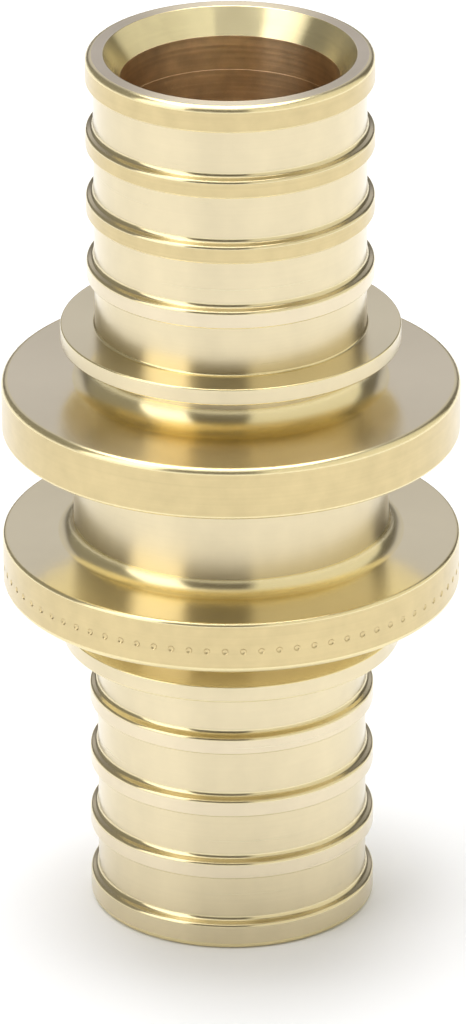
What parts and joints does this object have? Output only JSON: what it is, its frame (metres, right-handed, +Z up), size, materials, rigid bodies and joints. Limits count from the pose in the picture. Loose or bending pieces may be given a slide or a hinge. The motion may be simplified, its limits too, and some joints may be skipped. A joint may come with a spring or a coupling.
{
  "type": "ribbed pipe coupler",
  "caption": "Turned brass pipe coupler: a ribbed spigot on each end, a thin stop collar behind each, and thick flanges either side of a short neck for the press tool.",
  "frame": {"origin": "centre of the lower end face, on the axis of the bore", "axes": "+Z up along the axis of the bore, towards the upper spigot; +X to the right and -Y towards the viewer in the picture"},
  "size_m": [0.044, 0.044, 0.0878],
  "materials": {
    "brass": "satin"
  },
  "bodies": {
    "root": {"coupler_body": "brass"}
  },
  "joints": []
}
